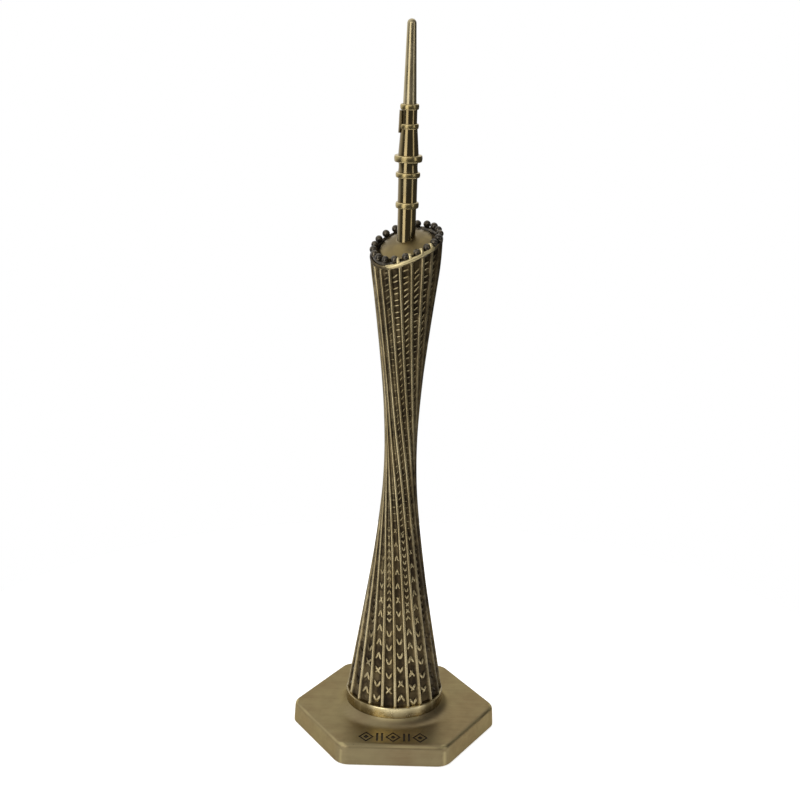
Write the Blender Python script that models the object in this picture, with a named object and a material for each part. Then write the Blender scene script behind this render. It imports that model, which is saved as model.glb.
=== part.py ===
"""Desk souvenir: a slim twisted tower of ribbed cast metal on a hexagonal base plate.

Metres, +Z up. The origin is in the middle of the felt underside, the flat edge of the base
that a viewer faces looks along -Y, and two corners of the hexagon point along -X and +X.
"""
import math

import bmesh
import bpy

MM = 0.001
GAP = 0.3 * MM                    # clearance between pieces that touch

# base plate and what is under it
HEX_CORNER = 37.0 * MM            # centre to a corner of the hexagon, before rounding
CORNER_ROUND = 6.0 * MM           # upright corners
TOP_ROUND = 1.6 * MM              # edge of the top face
DRAFT = 0.3 * MM                  # the sides lean in by this much up to that edge
BASE_BOTTOM = 0.2 * MM            # the pad stands this far proud of the plate
BASE_TOP = 7.8 * MM
PAD_THICK = 1.0 * MM
PAD_INSET = 2.0 * MM              # edge of the pad, in from the side of the plate
BOSS_RADIUS = 17.3 * MM
BOSS_FILLET = 2.6 * MM            # concave, and as high as the boss
BOSS_TOP = BASE_TOP + BOSS_FILLET

# M4 screw and washer from below
SCREW_RADIUS = 2.0 * MM
SCREW_HEAD_RADIUS = 3.8 * MM
SCREW_HEAD_HEIGHT = 2.0 * MM
SCREW_SOCKET_RADIUS = 1.45 * MM
SCREW_SOCKET_DEPTH = 1.1 * MM
SCREW_REACH = 11.3 * MM           # into the tower
WASHER_RADIUS = 4.5 * MM
WASHER_THICK = 0.8 * MM
COUNTERBORE_RADIUS = 5.2 * MM
COUNTERBORE_TOP = 5.2 * MM

# tower, with heights above the top face of the base
RIBS = 20
RIB_HALF = 0.26 * MM              # half a rib's width at its top, ...
RIB_HALF_GAIN = 0.010             # ... plus this share of the tower's radius
RIB_FLANK = 0.12 * MM             # more on either side at its foot
BAY_DEPTH = 0.45 * MM
BAY_DEPTH_GAIN = 0.030
COLLAR_TOP = BASE_TOP + 6.4 * MM
COLLAR_BORE = 15.6 * MM
FOOT_Z = COLLAR_TOP + GAP
WAIST_Z = BASE_TOP + 95.3 * MM
WAIST_RADIUS = 5.62 * MM
FLARE_BELOW = 0.181               # radius over height, far from the waist
FLARE_ABOVE = 0.156
RIM_Z = BASE_TOP + 168.0 * MM     # middle of the sloping rim
FLATTEN_Z = BASE_TOP + 158.0 * MM  # the flare dies out from here up
FLATTEN_OVER = 14.0 * MM
SLOPE_X = 0.262                   # the rim rises to the right ...
SLOPE_Y = 0.322                   # ... and to the back
TWIST_Z = BASE_TOP + 96.2 * MM    # where the ribs lean most
TWIST_SCALE = 32.1 * MM
TWIST_RATE = 0.609                # radians, times the arctangent of the height over the scale
FRONT = math.radians(-90.0)       # the viewer's side
FIRST_RIB = math.radians(2.5) - TWIST_RATE * math.atan((TWIST_Z - BASE_TOP) / TWIST_SCALE)
OPEN_AT_WAIST = 0.40              # share by which the front and back bays are wider there
OPEN_LOSS = 0.47                  # what is lost of it far from the waist
OPEN_RISE = 0.035                 # and what is gained with height
RIM_BAND = 0.85 * MM
HOOK_HEIGHT = 1.0 * MM
SHOULDER = 0.35 * MM              # the band rolls inwards by this much at its top
RECESS = 0.8 * MM                 # floor inside the rim, below the rim's edge
LEVELS = 20                       # rings of the tower's skin

# what sits in the rim
BEAD_RADIUS = 1.25 * MM
BEAD_IN = 1.15 * MM               # bead centres, in from the rim
BEAD_UP = 1.5 * MM                # and above it
BEAD_WIRE = 0.35 * MM
DECK_RADIUS = 8.7 * MM
DECK_CROWN = 3.0 * MM             # at the mast, above the rim's plane
DECK_EDGE = 0.9 * MM

# mast, with heights above the top face of the base
MAST_TAIL_Z = 156.1 * MM
MAST_BORE = 1.3 * MM              # for the tail of the spire
# lower edge, upper edge, outer radius and seat radius of each ring, from the bottom up
MAST_RINGS = (
    (180.9 * MM, 182.9 * MM, 3.85 * MM, 2.60 * MM),
    (191.0 * MM, 192.7 * MM, 4.05 * MM, 2.60 * MM),
    (196.1 * MM, 198.3 * MM, 4.65 * MM, 2.70 * MM),
    (206.8 * MM, 208.5 * MM, 3.15 * MM, 2.10 * MM),
    (213.0 * MM, 214.8 * MM, 3.10 * MM, 2.05 * MM),
)
# rod radii at the bottom, middle and top of each stretch below a ring
MAST_STRETCHES = (
    (3.05 * MM, 3.05 * MM, 3.05 * MM),
    (3.18 * MM, 3.18 * MM, 3.18 * MM),
    (3.35 * MM, 3.15 * MM, 3.30 * MM),
    (3.40 * MM, 3.08 * MM, 2.75 * MM),
    (2.55 * MM, 2.55 * MM, 2.55 * MM),
)
ROD_TOP = 214.0 * MM
SPIRE_FOOT_RADIUS = 2.2 * MM
SPIRE_TIP_RADIUS = 1.5 * MM
SPIRE_TIP_Z = 241.7 * MM
SPIRE_TAIL_Z = 207.8 * MM
SPIRE_TAIL_RADIUS = 1.0 * MM
PLATE_INNER = 3.05 * MM
PLATE_OUTER = 3.55 * MM
PLATE_LOW = 205.9 * MM
PLATE_HIGH = 212.4 * MM
PLATE_HALF_ANGLE = math.radians(30.0)
PLATE_CLEARANCE = math.radians(8.0)

LATHE_STEPS = 24
HEX_STEPS = 48                    # points round the base, 8 to each side


def clear_scene():
    for obj in list(bpy.data.objects):
        bpy.data.objects.remove(obj, do_unlink=True)


def material(name, colour, roughness, metallic):
    mat = bpy.data.materials.new(name)
    mat.use_nodes = True
    shader = mat.node_tree.nodes["Principled BSDF"]
    shader.inputs["Base Color"].default_value = (*colour, 1.0)
    shader.inputs["Roughness"].default_value = roughness
    shader.inputs["Metallic"].default_value = metallic
    mat.diffuse_color = (*colour, 1.0)
    return mat


def add_object(name, bm, mat):
    """Turn a bmesh into a named object with smooth rounds and sharp edges."""
    bmesh.ops.recalc_face_normals(bm, faces=bm.faces)
    mesh = bpy.data.meshes.new(name)
    bm.to_mesh(mesh)
    bm.free()
    mesh.materials.append(mat)
    mesh.shade_smooth()
    mesh.set_sharp_from_angle(angle=math.radians(35.0))
    obj = bpy.data.objects.new(name, mesh)
    bpy.context.collection.objects.link(obj)
    return obj


def skin(loops, closed):
    """Bridge loops of equally many points; closed joins the last loop to the first one."""
    bm = bmesh.new()
    rings = [[bm.verts.new(point) for point in loop] for loop in loops]
    count = len(rings[0])
    pairs = list(zip(rings, rings[1:]))
    if closed:
        pairs.append((rings[-1], rings[0]))
    else:
        bm.faces.new(rings[0])
        bm.faces.new(rings[-1])
    for low, high in pairs:
        for i in range(count):
            j = (i + 1) % count
            bm.faces.new((low[i], low[j], high[j], high[i]))
    return bm


def circle(radius, z, steps, phase=0.0):
    turn = 2.0 * math.pi / steps
    return [
        (radius * math.cos(phase + turn * k), radius * math.sin(phase + turn * k), z)
        for k in range(steps)
    ]


def lathe(profile, steps=LATHE_STEPS, closed=True):
    """Turn (radius, height) pairs about Z; an open profile gets a flat face at each end."""
    return skin([circle(radius, z, steps) for radius, z in profile], closed)


def arc(centre_r, centre_z, radius, start, end, steps):
    """Points of an arc in the (radius, height) plane, angles in degrees."""
    points = []
    for k in range(steps + 1):
        angle = math.radians(start + (end - start) * k / steps)
        points.append((centre_r + radius * math.cos(angle), centre_z + radius * math.sin(angle)))
    return points


def slope(x, y):
    """Height of the rim's plane over its own middle."""
    return SLOPE_X * x + SLOPE_Y * y


def tilt(bm):
    """Shear a level piece so that it lies along the rim's plane."""
    for vert in bm.verts:
        vert.co.z += slope(vert.co.x, vert.co.y)
    return bm


# ---------------------------------------------------------------- base

def hexagon(inset, z):
    """Rounded hexagon, moved in by inset, with 4 points on each corner and 4 on each side."""
    apothem = HEX_CORNER * math.cos(math.radians(30.0)) - inset
    rounding = max(CORNER_ROUND - inset, 0.4 * MM)
    centre = (apothem - rounding) / math.cos(math.radians(30.0))
    points = []
    for corner in range(6):
        middle = math.radians(60.0 * corner)
        cx = centre * math.cos(middle)
        cy = centre * math.sin(middle)
        arc_points = []
        for k in range(4):
            angle = middle + math.radians(-30.0 + 20.0 * k)
            arc_points.append((cx + rounding * math.cos(angle), cy + rounding * math.sin(angle)))
        following = math.radians(60.0 * (corner + 1))
        start_angle = following - math.radians(30.0)
        sx = centre * math.cos(following) + rounding * math.cos(start_angle)
        sy = centre * math.sin(following) + rounding * math.sin(start_angle)
        points.extend(arc_points)
        ex, ey = arc_points[-1]
        for k in range(1, 5):
            share = k / 5.0
            points.append((ex + (sx - ex) * share, ey + (sy - ey) * share))
    return [(x, y, z) for x, y in points]


def make_base_plate(mat):
    phase = math.radians(-11.25)          # lines the round loops up with the corners' points
    hole = SCREW_RADIUS + GAP
    recess_top = PAD_THICK + GAP
    recess_inset = PAD_INSET - GAP
    loops = [circle(hole, BOSS_TOP, HEX_STEPS, phase)]
    for radius, z in arc(BOSS_RADIUS + BOSS_FILLET, BOSS_TOP, BOSS_FILLET, 180.0, 270.0, 5):
        loops.append(circle(radius, z, HEX_STEPS, phase))
    for k in range(4):
        angle = math.radians(90.0 - 30.0 * k)
        inset = DRAFT + TOP_ROUND * (1.0 - math.cos(angle))
        loops.append(hexagon(inset, BASE_TOP - TOP_ROUND * (1.0 - math.sin(angle))))
    loops.append(hexagon(0.0, BASE_BOTTOM + 0.3 * MM))
    loops.append(hexagon(0.3 * MM, BASE_BOTTOM))
    loops.append(hexagon(recess_inset, BASE_BOTTOM))
    loops.append(hexagon(recess_inset, recess_top))
    loops.append(circle(COUNTERBORE_RADIUS, recess_top, HEX_STEPS, phase))
    loops.append(circle(COUNTERBORE_RADIUS, COUNTERBORE_TOP, HEX_STEPS, phase))
    loops.append(circle(hole, COUNTERBORE_TOP, HEX_STEPS, phase))
    add_object("base_plate", skin(loops, closed=True), mat)


def make_felt_pad(mat):
    add_object("felt_pad", skin([hexagon(PAD_INSET, 0.0), hexagon(PAD_INSET, PAD_THICK)], False), mat)


def make_fastening(mat):
    washer_top = COUNTERBORE_TOP - GAP
    washer_low = washer_top - WASHER_THICK
    washer_bore = SCREW_RADIUS + GAP
    washer = (
        (washer_bore, washer_low),
        (WASHER_RADIUS, washer_low),
        (WASHER_RADIUS, washer_top),
        (washer_bore, washer_top),
    )
    add_object("base_washer", lathe(washer, 24), mat)

    head_top = washer_low - GAP
    head_low = head_top - SCREW_HEAD_HEIGHT
    tip = BOSS_TOP + GAP + SCREW_REACH
    crown = 0.6 * MM
    socket_turn = 24
    loops = [circle(SCREW_SOCKET_RADIUS, head_low + SCREW_SOCKET_DEPTH, socket_turn)]
    loops.append(circle(SCREW_SOCKET_RADIUS, head_low, socket_turn))
    loops.append(circle(SCREW_HEAD_RADIUS - crown, head_low, socket_turn))
    loops.append(circle(SCREW_HEAD_RADIUS, head_low + crown, socket_turn))
    loops.append(circle(SCREW_HEAD_RADIUS, head_top, socket_turn))
    loops.append(circle(SCREW_RADIUS, head_top, socket_turn))
    loops.append(circle(SCREW_RADIUS, tip - 0.8 * MM, socket_turn))
    loops.append(circle(SCREW_RADIUS - 0.7 * MM, tip, socket_turn))
    add_object("base_screw", skin(loops, closed=False), mat)


def make_foot_collar(mat):
    edge = 0.35 * MM
    low = BOSS_TOP + GAP
    profile = [(COLLAR_BORE, low)]
    profile.append((BOSS_RADIUS, low))
    profile.extend(arc(BOSS_RADIUS - edge, COLLAR_TOP - edge, edge, 0.0, 90.0, 3))
    profile.append((COLLAR_BORE, COLLAR_TOP))
    add_object("foot_collar", lathe(profile, 48), mat)


# ---------------------------------------------------------------- tower

def tower_radius(z):
    """Outer radius over the ribs: two hyperbolas that meet at the waist, flattened at the top."""
    below_flat = min(z, FLATTEN_Z)
    flare = FLARE_BELOW if below_flat < WAIST_Z else FLARE_ABOVE
    radius = math.hypot(WAIST_RADIUS, flare * (below_flat - WAIST_Z))
    if z > FLATTEN_Z:
        steepness = flare * flare * (FLATTEN_Z - WAIST_Z) / radius
        over = min(z - FLATTEN_Z, FLATTEN_OVER)
        radius += steepness * (over - over * over / (2.0 * FLATTEN_OVER))
    return radius


def rib_angle(number, z):
    """Direction of a rib at a height; half numbers are the middles of the bays.

    The ribs turn most at the waist, where they also stand wider apart at the front and the
    back than at the sides.
    """
    away = (z - TWIST_Z) / TWIST_SCALE
    angle = FIRST_RIB - TWIST_RATE * math.atan(away) + 2.0 * math.pi * number / RIBS
    opening = OPEN_AT_WAIST - OPEN_LOSS * away * away / (1.0 + away * away) + OPEN_RISE * away
    return FRONT + angle + 0.5 * opening * math.sin(2.0 * angle)


def rib_sizes(radius):
    """Half widths of a rib at its top and at its foot, and the depth of the bays."""
    half_top = RIB_HALF + RIB_HALF_GAIN * radius
    half_foot = half_top + RIB_FLANK
    depth = BAY_DEPTH + BAY_DEPTH_GAIN * radius
    return half_top, half_foot, depth


def tower_loop(z_middle, share, ribbed=True, up_rib=0.0, in_rib=0.0, up_bay=0.0, in_bay=0.0):
    """One ring of the tower's skin, 4 points to each rib.

    share says how much of the rim's slope the ring takes. The ups raise, and the ins pull in,
    the points on the ribs and the points in the bays between them.
    """
    points = []
    for rib in range(RIBS):
        for side in (-1.0, 1.0):
            for on_rib in ((False, True) if side < 0.0 else (True, False)):
                z = z_middle
                for _ in range(3):
                    radius = tower_radius(z)
                    half_top, half_foot, depth = rib_sizes(radius)
                    offset = half_top if on_rib else half_foot
                    angle = rib_angle(rib, z) + side * offset / radius
                    x = radius * math.cos(angle)
                    y = radius * math.sin(angle)
                    z = z_middle + share * slope(x, y)
                reach = radius - (in_rib if on_rib else in_bay)
                if ribbed and not on_rib:
                    reach -= depth
                up = up_rib if on_rib else up_bay
                points.append((reach * math.cos(angle), reach * math.sin(angle), z + up))
    return points


def plain_loop(radius, z, share):
    """A round ring whose points stand in line with those of the ribbed rings nearby."""
    points = []
    for x, y, _ in tower_loop(z, share, ribbed=False):
        scale = radius / math.hypot(x, y)
        points.append((x * scale, y * scale, z + share * slope(x * scale, y * scale)))
    return points


def rim_radius(angle):
    """Outer radius of the sloping rim in a direction."""
    radius = tower_radius(RIM_Z)
    for _ in range(4):
        z = RIM_Z + slope(radius * math.cos(angle), radius * math.sin(angle))
        radius = tower_radius(z)
    return radius


def make_tower(mat):
    screw_hole = SCREW_RADIUS + GAP
    mast_hole = MAST_STRETCHES[0][0] + GAP
    spigot = COLLAR_BORE - GAP
    foot_low = BOSS_TOP + GAP
    hole_top = foot_low + SCREW_REACH + 2.0 * MM
    loops = [
        plain_loop(screw_hole, hole_top, 0.0),
        plain_loop(screw_hole, foot_low, 0.0),
        plain_loop(spigot, foot_low, 0.0),
        plain_loop(spigot, FOOT_Z, 0.0),
    ]
    ribs_end = RIM_Z - RIM_BAND - 0.3 * MM
    for level in range(LEVELS + 1):
        share = level / LEVELS
        z = FOOT_Z + (ribs_end - FOOT_Z) * share
        loops.append(tower_loop(z, share ** 2))
    rim = (
        # height, and how far the points on the ribs and in the bays are raised and pulled in
        (-RIM_BAND, 0.0, 0.0, 0.0, 0.05 * MM),
        (-0.3 * RIM_BAND, 0.0, 0.1 * MM, 0.0, 0.15 * MM),
        (0.0, 0.0, SHOULDER, 0.0, SHOULDER),
        (0.0, 0.9 * HOOK_HEIGHT, SHOULDER + 0.2 * MM, 0.0, SHOULDER + 0.12 * MM),
        (0.0, HOOK_HEIGHT, SHOULDER + 0.5 * MM, 0.0, SHOULDER + 0.24 * MM),
        (0.0, 0.0, SHOULDER + 0.4 * MM, -0.1 * MM, SHOULDER + 0.36 * MM),
        (-RECESS, 0.0, SHOULDER + 0.4 * MM, 0.0, SHOULDER + 0.4 * MM),
    )
    for height, up_rib, in_rib, up_bay, in_bay in rim:
        loops.append(tower_loop(RIM_Z + height, 1.0, False, up_rib, in_rib, up_bay, in_bay))
    loops.append(plain_loop(mast_hole, RIM_Z - RECESS, 1.0))
    loops.append(plain_loop(mast_hole, MAST_TAIL_Z - GAP, 0.0))
    add_object("tower_body", skin(loops, closed=False), mat)


def make_bead_ring(mat):
    """Beads on a wire, swept as one tube that swells at each bead."""
    stations = 8
    around = 6
    loops = []
    for bead in range(RIBS):
        middle = rib_angle(bead + 0.5, RIM_Z)
        following = rib_angle(bead + 1.5, RIM_Z)
        centre = rim_radius(middle) - BEAD_IN
        reach = math.sqrt(BEAD_RADIUS ** 2 - BEAD_WIRE ** 2)
        along = [reach * math.sin(math.radians(-90.0 + 180.0 * k / (stations - 2)))
                 for k in range(stations - 1)]
        along.append(centre * (following - middle) / 2.0)
        for step in along:
            angle = middle + step / centre
            path = rim_radius(angle) - BEAD_IN
            thick = math.sqrt(max(BEAD_RADIUS ** 2 - step ** 2, BEAD_WIRE ** 2))
            px = path * math.cos(angle)
            py = path * math.sin(angle)
            pz = RIM_Z + slope(px, py) + BEAD_UP
            loop = []
            for k in range(around):
                turn = 2.0 * math.pi * k / around
                out = path + thick * math.cos(turn)
                loop.append((out * math.cos(angle), out * math.sin(angle), pz + thick * math.sin(turn)))
            loops.append(loop)
    add_object("bead_ring", skin(loops, closed=True), mat)


def make_deck_cap(mat):
    bore = MAST_STRETCHES[0][0] + GAP
    low = RIM_Z - RECESS + GAP
    edge = 0.3 * MM
    profile = [(bore, low), (DECK_RADIUS, low)]
    profile.extend(arc(DECK_RADIUS - edge, RIM_Z + DECK_EDGE - edge, edge, 0.0, 80.0, 2))
    for k in range(1, 5):
        share = k / 4.0
        radius = DECK_RADIUS - edge - (DECK_RADIUS - edge - bore) * share
        rise = (DECK_CROWN - DECK_EDGE) * math.sin(share * math.pi / 2.0)
        profile.append((radius, RIM_Z + DECK_EDGE + rise))
    add_object("deck_cap", tilt(lathe(profile, 40)), mat)


# ---------------------------------------------------------------- mast

def mast_profile():
    """Outline of the rod from its tail to its top, and down into the bore for the spire."""
    chamfer = 0.5 * MM
    tail_radius = MAST_STRETCHES[0][0]
    profile = [(tail_radius - chamfer, MAST_TAIL_Z), (tail_radius, MAST_TAIL_Z + chamfer)]
    start = None
    for (low, high, _, seat), radii in zip(MAST_RINGS, MAST_STRETCHES):
        end = BASE_TOP + low - GAP
        if start is not None:
            profile.append((radii[0], start))
            if len(set(radii)) > 1:
                profile.append((radii[1], (start + end) / 2.0))
        profile.append((radii[2], end))
        profile.append((seat, end))
        start = BASE_TOP + high + GAP
        if high < ROD_TOP:
            profile.append((seat, start))
    profile.append((MAST_RINGS[-1][3], BASE_TOP + ROD_TOP))
    profile.append((MAST_BORE, BASE_TOP + ROD_TOP))
    profile.append((MAST_BORE, BASE_TOP + SPIRE_TAIL_Z - GAP))
    return profile


def make_mast_collar(number, ring, mat):
    low, high, radius, seat = ring
    low += BASE_TOP
    high += BASE_TOP
    bore = seat + GAP
    edge = 0.3 * MM
    profile = [(bore, low)]
    profile.extend(arc(radius - edge, low + edge, edge, -90.0, 0.0, 2))
    profile.extend(arc(radius - edge, high - edge, edge, 0.0, 90.0, 2))
    profile.append((bore, high))
    return add_object(f"mast_collar_{number}", lathe(profile), mat)


def sector(inner, outer, low, high, half_angle, drop=0.0):
    """Curved block on the -X side; drop lowers the outer part of its lower end."""
    steps = 6
    loops = []
    for k in range(steps + 1):
        angle = math.pi - half_angle + 2.0 * half_angle * k / steps
        section = ((inner, low), (outer, low - drop), (outer, high), (inner, high))
        loops.append([(r * math.cos(angle), r * math.sin(angle), z) for r, z in section])
    return skin(loops, closed=False)


def make_side_plate(collar, mat):
    """A small plate beside the mast; it passes the fourth ring through a notch in the ring."""
    plate = sector(
        PLATE_INNER, PLATE_OUTER, BASE_TOP + PLATE_LOW, BASE_TOP + PLATE_HIGH, PLATE_HALF_ANGLE, 0.4 * MM)
    add_object("mast_side_plate", plate, mat)
    low, high, radius, _ = MAST_RINGS[3]
    notch = sector(
        1.0 * MM, radius + 1.0 * MM, BASE_TOP + low - 1.0 * MM, BASE_TOP + high + 1.0 * MM,
        PLATE_HALF_ANGLE + PLATE_CLEARANCE)
    cutter = add_object("notch_cutter", notch, mat)
    cutter.hide_render = True
    cutter.display_type = "WIRE"
    cut = collar.modifiers.new("notch", "BOOLEAN")
    cut.operation = "DIFFERENCE"
    cut.object = cutter
    cut.solver = "EXACT"


def make_spire(mat):
    tail_low = BASE_TOP + SPIRE_TAIL_Z
    foot = BASE_TOP + ROD_TOP + GAP
    shoulder = BASE_TOP + MAST_RINGS[-1][1] + GAP
    seat = MAST_RINGS[-1][3]
    round_z = BASE_TOP + SPIRE_TIP_Z - SPIRE_TIP_RADIUS
    profile = [(SPIRE_TAIL_RADIUS, tail_low), (SPIRE_TAIL_RADIUS, foot), (seat, foot), (seat, shoulder)]
    profile.append((SPIRE_FOOT_RADIUS, shoulder))
    profile.extend(arc(0.0, round_z, SPIRE_TIP_RADIUS, 0.0, 84.0, 5))
    add_object("mast_spire", lathe(profile, closed=False), mat)


def make_mast(dark, bright):
    add_object("mast_rod", lathe(mast_profile(), closed=False), dark)
    collars = [make_mast_collar(k + 1, ring, bright) for k, ring in enumerate(MAST_RINGS)]
    make_side_plate(collars[3], dark)
    make_spire(dark)


def main():
    clear_scene()
    satin_brass = material("satin_brass", (0.24, 0.19, 0.10), 0.38, 1.0)
    antique_brass = material("antique_brass", (0.16, 0.12, 0.065), 0.42, 1.0)
    bright_brass = material("bright_brass", (0.42, 0.33, 0.15), 0.22, 1.0)
    dark_brass = material("dark_brass", (0.20, 0.155, 0.075), 0.25, 1.0)
    black_bead = material("black_bead", (0.02, 0.018, 0.017), 0.2, 0.6)
    felt = material("black_felt", (0.015, 0.015, 0.016), 0.95, 0.0)
    steel = material("zinc_steel", (0.55, 0.56, 0.58), 0.35, 1.0)

    make_base_plate(satin_brass)
    make_felt_pad(felt)
    make_fastening(steel)
    make_foot_collar(bright_brass)
    make_tower(antique_brass)
    make_bead_ring(black_bead)
    make_deck_cap(satin_brass)
    make_mast(dark_brass, bright_brass)


main()
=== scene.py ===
"""Looks of the souvenir tower: fine meshes and antique-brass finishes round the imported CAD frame.

Everything is in metres, in the frame of the CAD. Heights and radii come from the boxes of the
CAD nodes; the tower's own curve, twist and rim slope are the same formulas as in the design.
"""
import math

import bmesh
import bpy
import numpy as np
from mathutils import Matrix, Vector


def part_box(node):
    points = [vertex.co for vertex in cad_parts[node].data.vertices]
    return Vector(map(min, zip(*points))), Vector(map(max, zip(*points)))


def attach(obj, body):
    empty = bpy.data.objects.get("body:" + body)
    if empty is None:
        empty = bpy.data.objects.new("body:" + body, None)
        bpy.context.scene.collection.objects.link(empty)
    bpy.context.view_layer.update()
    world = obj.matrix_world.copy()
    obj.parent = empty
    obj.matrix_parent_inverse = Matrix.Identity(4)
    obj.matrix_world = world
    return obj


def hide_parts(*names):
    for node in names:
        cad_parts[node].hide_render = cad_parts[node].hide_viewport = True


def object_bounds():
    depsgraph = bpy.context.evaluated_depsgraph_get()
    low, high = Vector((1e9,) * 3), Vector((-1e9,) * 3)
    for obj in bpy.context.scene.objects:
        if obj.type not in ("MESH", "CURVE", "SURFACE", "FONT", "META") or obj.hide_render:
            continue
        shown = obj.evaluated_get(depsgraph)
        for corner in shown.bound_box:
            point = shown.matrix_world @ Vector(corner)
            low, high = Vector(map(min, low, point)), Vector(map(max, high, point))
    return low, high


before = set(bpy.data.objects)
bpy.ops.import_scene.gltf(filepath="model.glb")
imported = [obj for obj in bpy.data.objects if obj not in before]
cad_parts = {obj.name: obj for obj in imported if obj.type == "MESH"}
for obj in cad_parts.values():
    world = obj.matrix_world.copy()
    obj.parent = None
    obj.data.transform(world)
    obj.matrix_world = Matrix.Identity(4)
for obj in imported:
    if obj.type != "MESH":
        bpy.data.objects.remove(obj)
CAD_BOX = [list(corner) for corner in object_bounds()]

MM = 0.001
TAU = 2.0 * math.pi
FRONT = math.radians(-90.0)        # direction of the front; angles grow from it towards +X


def top(node):
    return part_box(node)[1][2]


def bottom(node):
    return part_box(node)[0][2]


def reach(node):
    """Largest radius of a round node, read on its +X side."""
    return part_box(node)[1][0]


# ---- sizes of the base and of what the frame gives
BOSS_FILLET = 2.6 * MM
BOSS_SPREAD = 5.0 * MM             # the boss runs out into the top face over this width
BOSS_TOP = top("base_plate")
BASE_TOP = BOSS_TOP - BOSS_FILLET
BASE_BOTTOM = bottom("base_plate")
BOSS_RADIUS = reach("foot_collar")
COLLAR_TOP = top("foot_collar")
PAD_TOP = top("felt_pad")
DECK_RADIUS = reach("deck_cap")
RING_NODES = [f"mast_collar_{k}" for k in range(1, 6)]
BASE_BORE = 0.605 * reach("base_screw")  # round the screw's shank, half as wide as its head
TOWER_BORE = 0.6 * reach("base_screw")
MAST_BORE = 0.9 * reach("mast_rod")  # round the rod's tail, thinner than its widest part

# ---- the base's outline
HEX_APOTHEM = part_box("base_plate")[1][1]
CORNER_ROUND = 6.0 * MM
TOP_ROUND = 1.6 * MM
DRAFT = 0.3 * MM
PAD_INSET = HEX_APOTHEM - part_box("felt_pad")[1][1]

# ---- the tower's law: a hyperbola's waist, a twist round it, and a rim that slopes both ways
RIBS = 20
WAIST_Z = BASE_TOP + 95.3 * MM
WAIST_RADIUS = 5.62 * MM
FLARE_BELOW = 0.181                # slope that the outline tends to
FLARE_ABOVE = 0.156
RIM_Z = BASE_TOP + 168.0 * MM
FLATTEN_Z = BASE_TOP + 158.0 * MM  # the flare runs out to a straight wall over the last stretch
FLATTEN_OVER = 14.0 * MM
SLOPE_X = 0.262
SLOPE_Y = 0.322
TWIST_Z = BASE_TOP + 96.2 * MM
TWIST_SCALE = 32.1 * MM
TWIST_RATE = 0.609
FIRST_RIB = math.radians(2.5) - TWIST_RATE * math.atan((TWIST_Z - BASE_TOP) / TWIST_SCALE)
OPEN_AT_WAIST = 0.40               # how far the front ribs stand apart, and how that fades
OPEN_LOSS = 0.47
OPEN_RISE = 0.035
UPPER_Z = BASE_TOP + 70.0 * MM     # from here up the ribs are wider and the marks are dashes
RECESS = 0.8 * MM                  # the deck's seat below the rim
DECK_RISE = 2.1 * MM
LIP = 1.7 * MM                     # climb of the rim's band, and where it is highest
LIP_TURN = math.radians(32.0)
BAND_FACE = 1.3 * MM               # height of the band's smooth face
BAR_FROM = -34.0                   # degrees from the front: the bright bar along the band
BAR_TO = 52.0
FINGER_LEAN = math.radians(3.0)    # the fingers' tips lean to the left
BEAD_RADIUS = 1.25 * MM
BEAD_IN = 1.15 * MM
BEAD_UP = 1.5 * MM

rng = np.random.default_rng(7)


def faced(angle, middle, full, none):
    """1 within full degrees of a middle that counts from the front to +X, 0 from none degrees."""
    off = math.cos(angle - FRONT - math.radians(middle))
    inner = math.cos(math.radians(full))
    outer = math.cos(math.radians(none))
    return min(1.0, max(0.0, (off - outer) / (inner - outer)))


# ================ mesh helpers

def add_mesh(name, shape, materials, sharp=None):
    """Make a smooth-shaded object of points, faces and each point's wear, from 0 to 1, which also holds
    painted highlights and painted side light.
    """
    points, faces, wear_and_light = shape
    mesh = bpy.data.meshes.new(name)
    mesh.from_pydata([tuple(p) for p in points], [], faces)
    mesh.validate()
    for mat in materials:
        mesh.materials.append(mat)
    mesh.shade_smooth()
    if sharp is not None:
        mesh.set_sharp_from_angle(angle=math.radians(sharp))
    # the wear attribute holds real rubbing together with painted highlights and painted side light
    layer = mesh.attributes.new("wear_and_light", "FLOAT", "POINT")
    layer.data.foreach_set("value", [float(value) for value in wear_and_light])
    obj = bpy.data.objects.new(name, mesh)
    bpy.context.collection.objects.link(obj)
    return obj


def skin(loops, closed=False):
    """Points and faces of loops of equally many points, bridged in order; open ends are capped."""
    count = len(loops[0])
    points = [point for loop in loops for point in loop]
    faces = []
    rows = len(loops)
    for row in range(rows if closed else rows - 1):
        low = row * count
        high = (row + 1) % rows * count
        for i in range(count):
            j = (i + 1) % count
            faces.append((low + i, low + j, high + j, high + i))
    if not closed:
        faces.append(tuple(reversed(range(count))))
        faces.append(tuple(range((rows - 1) * count, rows * count)))
    return points, faces


def merge(parts):
    """Join (points, faces, wear) triples into one."""
    points, faces, wear_and_light = [], [], []
    for part_points, part_faces, part_wear in parts:
        start = len(points)
        points.extend(part_points)
        faces.extend(tuple(start + i for i in face) for face in part_faces)
        wear_and_light.extend(part_wear)
    return points, faces, wear_and_light


def even(shape, value=0.5):
    """Give points and faces the same wear all over."""
    points, faces = shape
    return points, faces, [value] * len(points)


def circle(radius, z, steps, phase=0.0):
    angles = [phase + TAU * k / steps for k in range(steps)]
    return [(radius * math.cos(a), radius * math.sin(a), z) for a in angles]


def fillet(corners, radius, steps=4):
    """Round the corners of an open (radius, height) polyline; the two ends stay as they are."""
    points = [corners[0]]
    for before, here, after in zip(corners, corners[1:], corners[2:]):
        here = np.array(here)
        back = np.array(before) - here
        ahead = np.array(after) - here
        cut = min(radius, 0.45 * np.linalg.norm(back), 0.45 * np.linalg.norm(ahead))
        start = here + back / np.linalg.norm(back) * cut
        end = here + ahead / np.linalg.norm(ahead) * cut
        for k in range(steps + 1):
            t = k / steps
            point = (1 - t) ** 2 * start + 2 * t * (1 - t) * here + t ** 2 * end
            points.append(tuple(point))
    points.append(corners[-1])
    return points


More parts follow.
